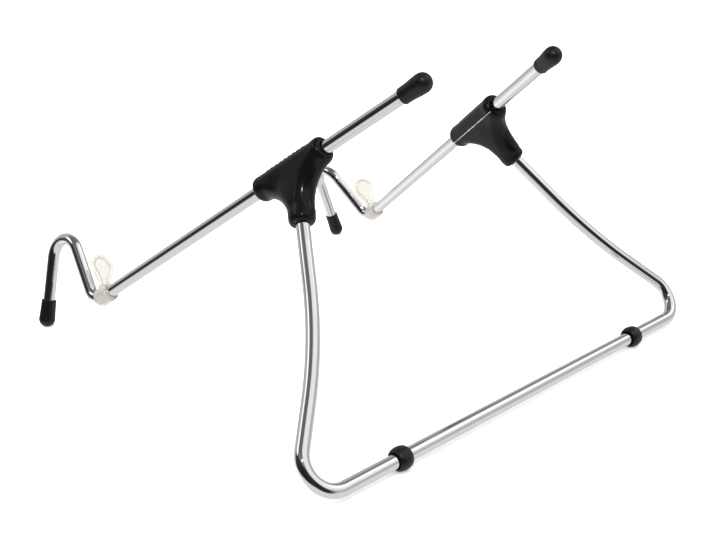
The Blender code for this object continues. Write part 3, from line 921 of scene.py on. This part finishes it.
def make_stoppers(material):
    """Clear stoppers, each turned as the user left it."""
    base = stopper_mesh()
    for side, sign in SIDES.items():
        mesh = base.copy()
        mesh.transform(Matrix.Rotation(-STOP_LEAN[sign], 4, "Y"))
        mesh.transform(Matrix.Translation((0, STOP_FROM_CORNER[sign] - ARM_FRONT, 0)))
        place_mesh(mesh, arm_frame(side), side)
        body = f"stopper_{side}"
        finish_piece(f"clear_stopper_{side}", mesh, material, body, [body], sharp=50)


def make_tee(side, material):
    """Moulded tee with its ribs."""
    mesh = place_mesh(tee_mesh(side), arm_frame(side), side)
    body = f"tee_{side}"
    finish_piece(f"moulded_tee_{side}", mesh, material, body, [body], sharp=38)


def make_liner(side, material):
    """Nylon liner round the arm, inside the tee's head."""
    front, rear = HEAD_ENDS[side]
    outer = CHAMBER_R - LINER_PLAY
    inner = ROD_R + LINER_PLAY
    ahead = LIP + LINER_END_PLAY - front
    behind = rear - LIP - LINER_END_PLAY
    mesh = turned("liner", [(behind, inner), (behind, outer), (ahead, outer), (ahead, inner)])
    place_mesh(mesh, arm_frame(side), side)
    finish_piece(
        f"nylon_liner_{side}", mesh, material, f"liner_{side}", [f"grip_liner_{side}"], sharp=50)


def make_seam_strip(side, material):
    """Pale strip that fills the slit along the tee's head."""
    front, rear = HEAD_ENDS[side]
    half = SLIT / 2 + STRIP_GRIP
    mesh = block((-HEAD_R + STRIP_SINK, MM - front, -half), (-CHAMBER_R - STRIP_GAP, rear - MM, half))
    mesh.transform(Matrix.Rotation(stem_lean(), 4, "Y"))
    place_mesh(mesh, arm_frame(side), side)
    finish_piece(f"seam_strip_{side}", mesh, material, f"tee_{side}", [])


def dress_inner_pieces(nylon, steel):
    """Better finishes for the inner solids that keep their shape."""
    inner = {"stem_bush": nylon, "retaining_ring": steel}
    for name, obj in frame["nodes"].items():
        material = inner.get(name.rsplit("_", 1)[0])
        if material:
            obj.data.materials.clear()
            obj.data.materials.append(material)


# ----------------------------------------------------------------- setting
def make_camera():
    """Camera above the stand's rear right."""
    data = bpy.data.cameras.new("camera")
    data.sensor_width = CAMERA_SENSOR
    data.lens = CAMERA_LENS
    data.clip_start = 0.01
    data.clip_end = 50.0
    camera = bpy.data.objects.new("camera", data)
    bpy.context.scene.collection.objects.link(camera)
    look = Vector(CAMERA_LOOK).normalized()
    top = Vector(CAMERA_TOP).normalized()
    across = look.cross(top).normalized()
    top = across.cross(look)
    turn = Matrix((across, top, -look)).transposed().to_4x4()
    camera.matrix_world = Matrix.Translation(CAMERA_PLACE) @ turn
    bpy.context.scene.camera = camera


def make_floor():
    """Plain pale floor."""
    bm = bmesh.new()
    bmesh.ops.create_circle(bm, cap_ends=True, radius=FLOOR_RADIUS, segments=96)
    mesh = bpy.data.meshes.new("floor")
    bm.to_mesh(mesh)
    bm.free()
    floor = bpy.data.objects.new("floor", mesh)
    bpy.context.scene.collection.objects.link(floor)
    m = Nodes("pale_floor")
    m.set(Base_Color=(0.86, 0.86, 0.855, 1), Roughness=0.9, Specular_IOR_Level=0.1)
    m.set(Emission_Color=(0.9, 0.9, 0.9, 1), Emission_Strength=0.55)
    mesh.materials.append(m.material)
    floor.visible_glossy = False


def direction_of(azimuth, elevation):
    """Unit vector from degrees round from +X and up from the horizon."""
    a, e = math.radians(azimuth), math.radians(elevation)
    return (math.cos(e) * math.cos(a), math.cos(e) * math.sin(a), math.sin(e))


def make_world():
    """Light tent round the stand: pale table and walls, dim ceiling, dark room to the right, patches."""
    world = bpy.data.worlds.new("tent")
    bpy.context.scene.world = world
    world.use_nodes = True
    tree = world.node_tree
    background = tree.nodes["Background"]
    coords = tree.nodes.new("ShaderNodeTexCoord")
    direction = coords.outputs["Generated"]
    split = tree.nodes.new("ShaderNodeSeparateXYZ")
    tree.links.new(direction, split.inputs["Vector"])

    def eased(value, low, high):
        """Ease from 0 to 1 between two values."""
        node = tree.nodes.new("ShaderNodeMapRange")
        node.interpolation_type = "SMOOTHSTEP"
        node.inputs["From Min"].default_value = low
        node.inputs["From Max"].default_value = high
        tree.links.new(value, node.inputs["Value"])
        return node.outputs["Result"]

    def times(a, b):
        """Product of two factors."""
        node = tree.nodes.new("ShaderNodeMath")
        node.operation = "MULTIPLY"
        tree.links.new(a, node.inputs[0])
        tree.links.new(b, node.inputs[1])
        return node.outputs["Value"]

    def toward(azimuth, elevation):
        """Cosine of the angle from a heading."""
        node = tree.nodes.new("ShaderNodeVectorMath")
        node.operation = "DOT_PRODUCT"
        tree.links.new(direction, node.inputs[0])
        node.inputs[1].default_value = direction_of(azimuth, elevation)
        return node.outputs["Value"]

    def painted(colour, factor, value):
        """Paint a value over a colour by a factor."""
        node = tree.nodes.new("ShaderNodeMix")
        node.data_type = "RGBA"
        tree.links.new(factor, node.inputs["Factor"])
        if isinstance(colour, tuple):
            node.inputs[MIX_FIRST].default_value = (*colour, 1)
        else:
            tree.links.new(colour, node.inputs[MIX_FIRST])
        node.inputs[MIX_SECOND].default_value = (*value, 1)
        return node.outputs[MIX_RESULT]

    def spot(azimuth, elevation, core, edge):
        """Soft-edged round patch round a heading."""
        near = toward(azimuth, elevation)
        return eased(near, math.cos(math.radians(edge)), math.cos(math.radians(core)))

    height = split.outputs["Z"]
    sky = painted(TABLE, eased(height, *TABLE_EDGE), WALL)
    sky = painted(sky, eased(height, *CEILING_EDGE), CEILING)
    room = times(eased(toward(*ROOM_TOWARD), *ROOM_SPREAD), eased(height, *ROOM_FOOT))
    room = times(room, eased(height, *ROOM_HEAD))
    sky = painted(sky, room, ROOM)
    for azimuth, elevation, core, edge, value in TENT_PATCHES:
        sky = painted(sky, spot(azimuth, elevation, core, edge), value)
    path = tree.nodes.new("ShaderNodeLightPath")
    shown = painted(sky, path.outputs["Is Camera Ray"], BACKDROP)
    tree.links.new(shown, background.inputs["Color"])
    background.inputs["Strength"].default_value = 1.0


def make_lights():
    """Key light that whitens the table, and a small lamp for the gloss."""
    sun = bpy.data.lights.new("key", "SUN")
    sun.energy = SUN_STRENGTH
    sun.angle = SUN_SPREAD
    glint = bpy.data.lights.new("glint", "AREA")
    glint.shape = "DISK"
    glint.size = GLINT_SIZE
    glint.energy = GLINT_POWER
    for data, place, in_gloss in ((sun, SUN_PLACE, False), (glint, GLINT_PLACE, True)):
        lamp = bpy.data.objects.new(data.name, data)
        bpy.context.scene.collection.objects.link(lamp)
        lamp.location = place
        lamp.rotation_mode = "QUATERNION"
        lamp.rotation_quaternion = (Vector(LAMP_AIM) - Vector(place)).to_track_quat("-Z", "Y")
        lamp.visible_glossy = in_gloss
    bpy.context.scene.view_settings.view_transform = "Standard"


def main():
    """Dress the frame and set the stage."""
    make_camera()
    make_floor()
    make_world()
    make_lights()
    chrome = chrome_material()
    gloss = gloss_plastic_material()
    rubber = rubber_material()
    clear = clear_plastic_material()
    nylon = nylon_material()
    make_leg(chrome)
    for side in SIDES:
        make_arm(side, chrome)
        make_bumper(side, rubber)
        make_rear_cap(side, rubber)
        make_foot_cap(side, rubber)
        make_tee(side, gloss)
        make_liner(side, nylon)
        make_seam_strip(side, nylon)
    make_stoppers(clear)
    dress_inner_pieces(nylon, spring_steel_material())


main()
